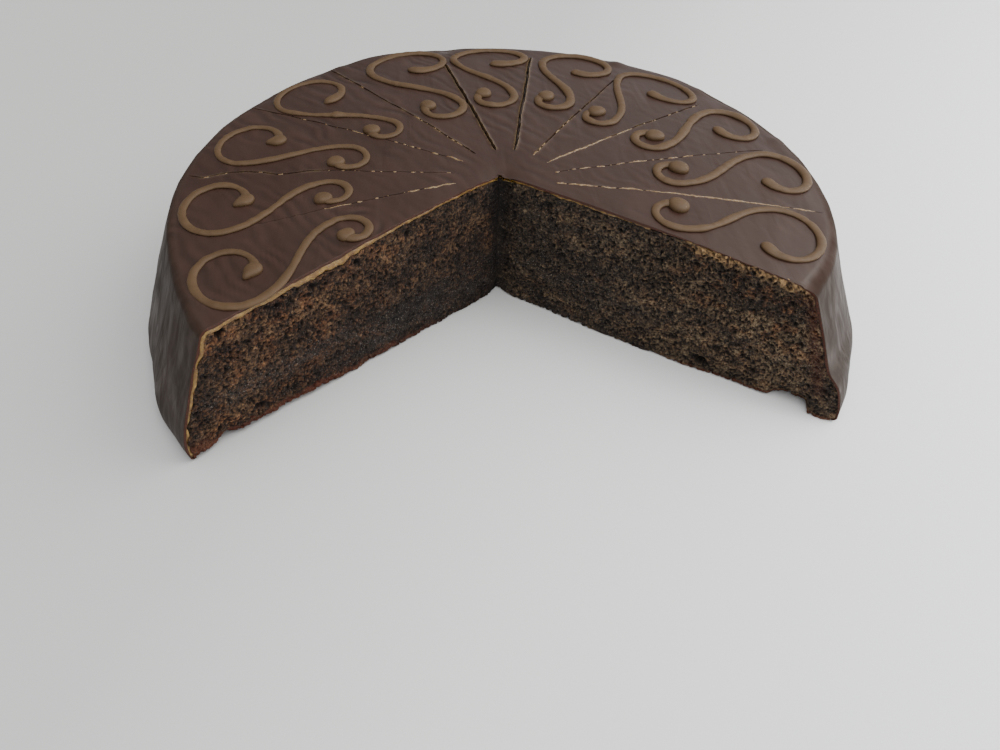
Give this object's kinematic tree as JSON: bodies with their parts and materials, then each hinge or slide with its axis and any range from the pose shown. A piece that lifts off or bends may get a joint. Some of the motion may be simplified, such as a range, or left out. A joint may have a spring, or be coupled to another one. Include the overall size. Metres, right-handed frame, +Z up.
{
  "type": "sachertorte cake",
  "caption": "Round glazed chocolate sponge cake with a wedge cut out, showing its crumb and jam, its top scored into servings with a piped scroll on each.",
  "frame": {"origin": "on the underside of the cake, on the axis of the round cake, close to the inner point of the cut wedge", "axes": "+Z up; the missing wedge opens towards -Y; +X to the right when the wedge is seen from the front"},
  "size_m": [0.252, 0.1994, 0.053],
  "materials": {
    "sponge": "porous dark chocolate sponge, matt, moist",
    "jam_band": "jam-soaked crumb, dark and slightly wet",
    "apricot_jam": "apricot jam, golden ochre, soft gloss",
    "chocolate_glaze": "set chocolate glaze, satin, finely rippled",
    "piped_chocolate": "piped milk chocolate, satin"
  },
  "bodies": {
    "root": {"sponge_lower": "sponge", "jam_filling": "jam_band", "sponge_upper": "sponge", "jam_coat": "apricot_jam", "glaze": "chocolate_glaze", "scroll_01": "piped_chocolate", "scroll_02": "piped_chocolate", "scroll_03": "piped_chocolate", "scroll_04": "piped_chocolate", "scroll_05": "piped_chocolate", "scroll_06": "piped_chocolate", "scroll_07": "piped_chocolate", "scroll_08": "piped_chocolate", "scroll_09": "piped_chocolate", "scroll_10": "piped_chocolate", "scroll_11": "piped_chocolate"}
  },
  "joints": []
}
